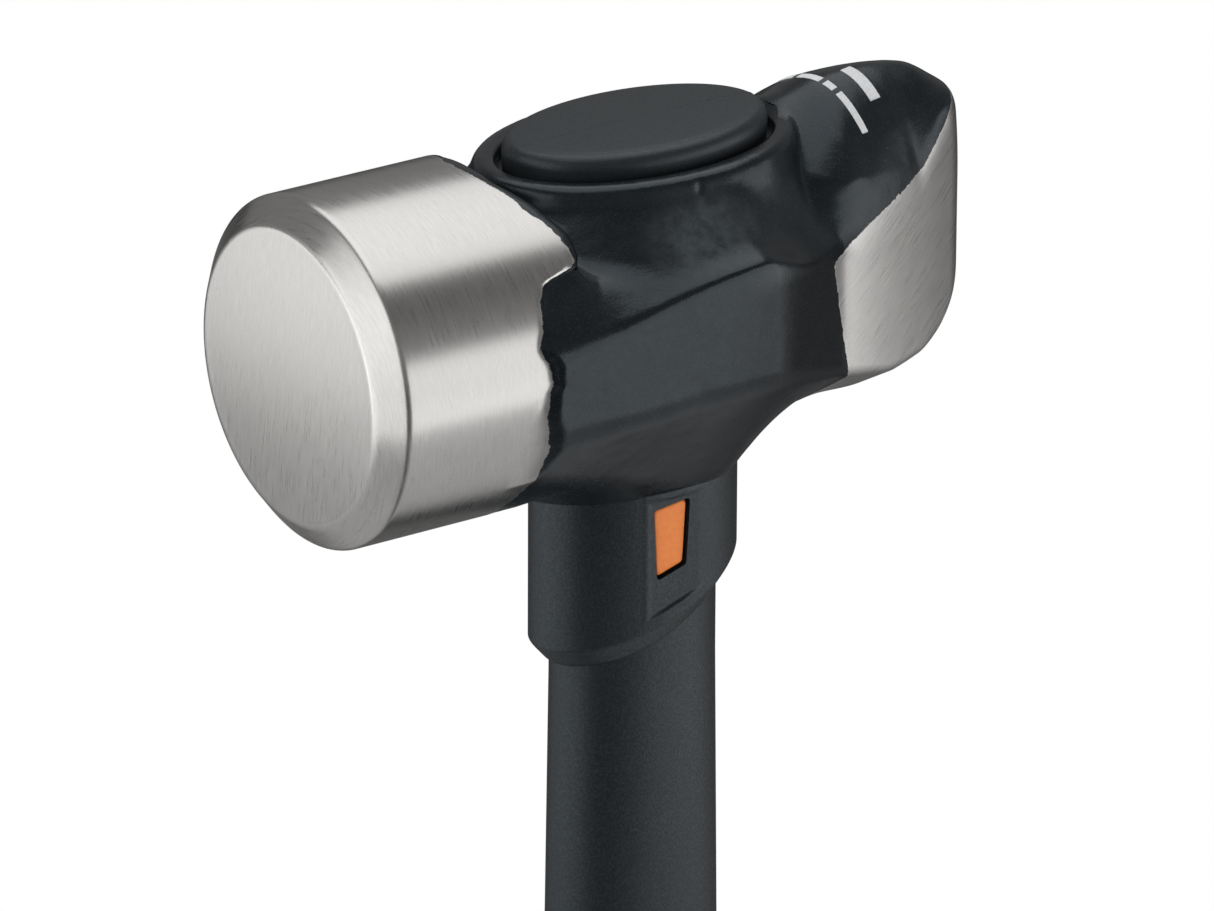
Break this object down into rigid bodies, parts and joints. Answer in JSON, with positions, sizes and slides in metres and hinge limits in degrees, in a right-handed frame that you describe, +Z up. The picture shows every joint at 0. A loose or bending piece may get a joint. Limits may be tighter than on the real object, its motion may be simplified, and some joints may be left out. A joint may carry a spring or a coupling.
{
  "type": "club hammer",
  "caption": "Short two-faced striking hammer: round chamfered face, straight wedge peen, oval composite handle with overstrike collar, soft grip and lanyard hole.",
  "frame": {"origin": "centre of the flat butt of the handle", "axes": "+Z up the handle toward the head, +X toward the wedge peen, round striking face on -X, +Y across the head"},
  "size_m": [0.1255, 0.0594, 0.2806],
  "materials": {
    "head_steel": "ground bright faces, black powder coat between them",
    "epoxy": "cast, hidden",
    "orange_elastomer": "moulded, satin",
    "glass_fibre_core": "pultruded, matt",
    "black_nylon": "fine spark texture",
    "grip_elastomer": "moulded texture, matt"
  },
  "bodies": {
    "root": {"hammer_head": "head_steel", "eye_bond": "epoxy", "isolation_sleeve": "orange_elastomer", "handle_core": "glass_fibre_core", "overstrike_collar": "black_nylon", "eye_cap": "black_nylon", "shaft_jacket": "black_nylon", "soft_grip": "grip_elastomer", "butt_cap": "black_nylon"}
  },
  "joints": []
}
